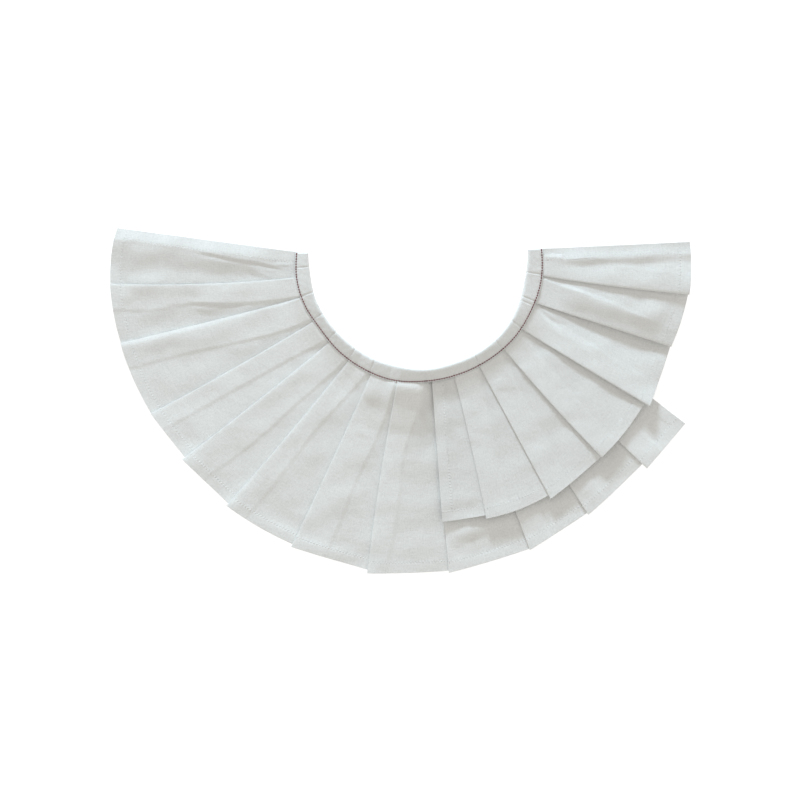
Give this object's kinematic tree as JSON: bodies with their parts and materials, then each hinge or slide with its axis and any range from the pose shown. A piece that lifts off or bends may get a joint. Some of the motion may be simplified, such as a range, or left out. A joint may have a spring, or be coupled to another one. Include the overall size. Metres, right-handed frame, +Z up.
{
  "type": "detachable pleated collar",
  "caption": "Detachable knife-pleated cotton collar, laid flat: a long and a short pleated panel, overlapping at the front, bound at the neck.",
  "frame": {"origin": "the middle of the collar's footprint, on the surface that it lies on", "axes": "+X along the collar's width, towards its right end as it is seen front side up; +Y towards the open side of the neck; +Z up, out of the front side"},
  "size_m": [0.6066, 0.362, 0.0139],
  "materials": {
    "long_panel_cloth": "white cotton lawn, plain weave, unlined, pressed into knife pleats",
    "short_panel_cloth": "white cotton lawn, plain weave, unlined, pressed into knife pleats",
    "binding_cloth": "white cotton bias strip, folded over the pleats' top edges",
    "seam_thread": "dark red sewing thread along the binding's outer edge"
  },
  "bodies": {
    "root": {"long_panel": "long_panel_cloth", "short_panel": "short_panel_cloth", "neck_binding": "binding_cloth"}
  },
  "joints": []
}
